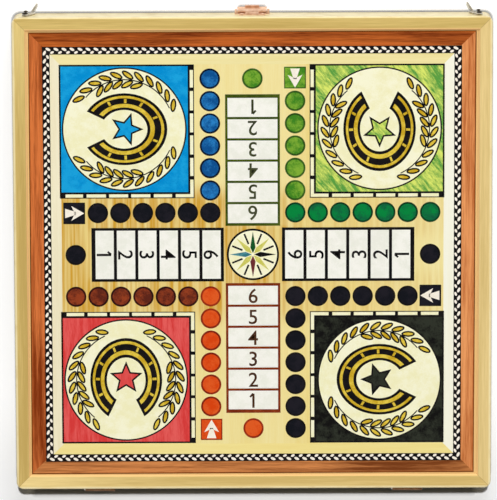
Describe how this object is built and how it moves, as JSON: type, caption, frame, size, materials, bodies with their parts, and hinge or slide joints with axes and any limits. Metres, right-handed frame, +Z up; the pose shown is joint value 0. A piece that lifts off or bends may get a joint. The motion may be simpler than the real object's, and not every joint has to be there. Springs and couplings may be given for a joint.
{
  "type": "folding ludo board box",
  "caption": "Flat square wooden game box of two hinged trays with a ludo board recessed in the lid, a compartment tray inside, a front clasp and two wire hooks.",
  "frame": {"origin": "under the middle of the closed case, on the surface that it lies on", "axes": "+Z up out of the board, +Y towards the clasp, +X to the right across the board"},
  "size_m": [0.4, 0.4142, 0.0342],
  "materials": {
    "beech": "satin",
    "plywood": "satin",
    "printed_sheet": "varnished",
    "brass": "aged",
    "steel": "dull",
    "wire": "dull",
    "dark_steel": "dark"
  },
  "bodies": {
    "base": {"base_rail_front": "beech", "base_rail_rear": "beech", "base_rail_left": "beech", "base_rail_right": "beech", "base_panel": "plywood", "tray_divider": "beech", "tray_partition_1": "beech", "tray_partition_2": "beech", "tray_partition_3": "beech", "tray_partition_4": "beech", "hinge_left_base_leaf": "brass", "hinge_right_base_leaf": "brass", "hinge_left_pin": "steel", "hinge_right_pin": "steel", "hinge_base_screws": "brass", "clasp_plate": "brass", "clasp_pin": "steel", "clasp_plate_screws": "brass", "hook_left_stud": "dark_steel", "hook_right_stud": "dark_steel"},
    "lid": {"lid_rail_front": "beech", "lid_rail_rear": "beech", "lid_rail_left": "beech", "lid_rail_right": "beech", "lid_panel": "plywood", "board_sheet": "printed_sheet", "hinge_left_lid_leaf": "brass", "hinge_right_lid_leaf": "brass", "hinge_lid_screws": "brass", "clasp_keeper": "brass", "clasp_keeper_screws": "brass", "hook_left_pivot": "dark_steel", "hook_right_pivot": "dark_steel"},
    "clasp_flap": {"clasp_flap": "brass"},
    "hook_left": {"hook_left": "wire"},
    "hook_right": {"hook_right": "wire"}
  },
  "joints": [
    {"name": "lid_hinge", "type": "hinge", "parent": "base", "child": "lid", "pos_m": [0, -0.2027, 0.0171], "axis": [1, 0, 0], "range_deg": [0, 180]},
    {"name": "clasp_turn", "type": "hinge", "parent": "base", "child": "clasp_flap", "pos_m": [0, 0.2024, 0.012], "axis": [1, 0, 0], "range_deg": [0, 160]},
    {"name": "hook_left_turn", "type": "hinge", "parent": "lid", "child": "hook_left", "pos_m": [-0.189, 0.2011, 0.0242], "axis": [0, 1, 0], "range_deg": [-68, 22]},
    {"name": "hook_right_turn", "type": "hinge", "parent": "lid", "child": "hook_right", "pos_m": [0.189, 0.2011, 0.0242], "axis": [0, -1, 0], "range_deg": [-68, 22]}
  ]
}
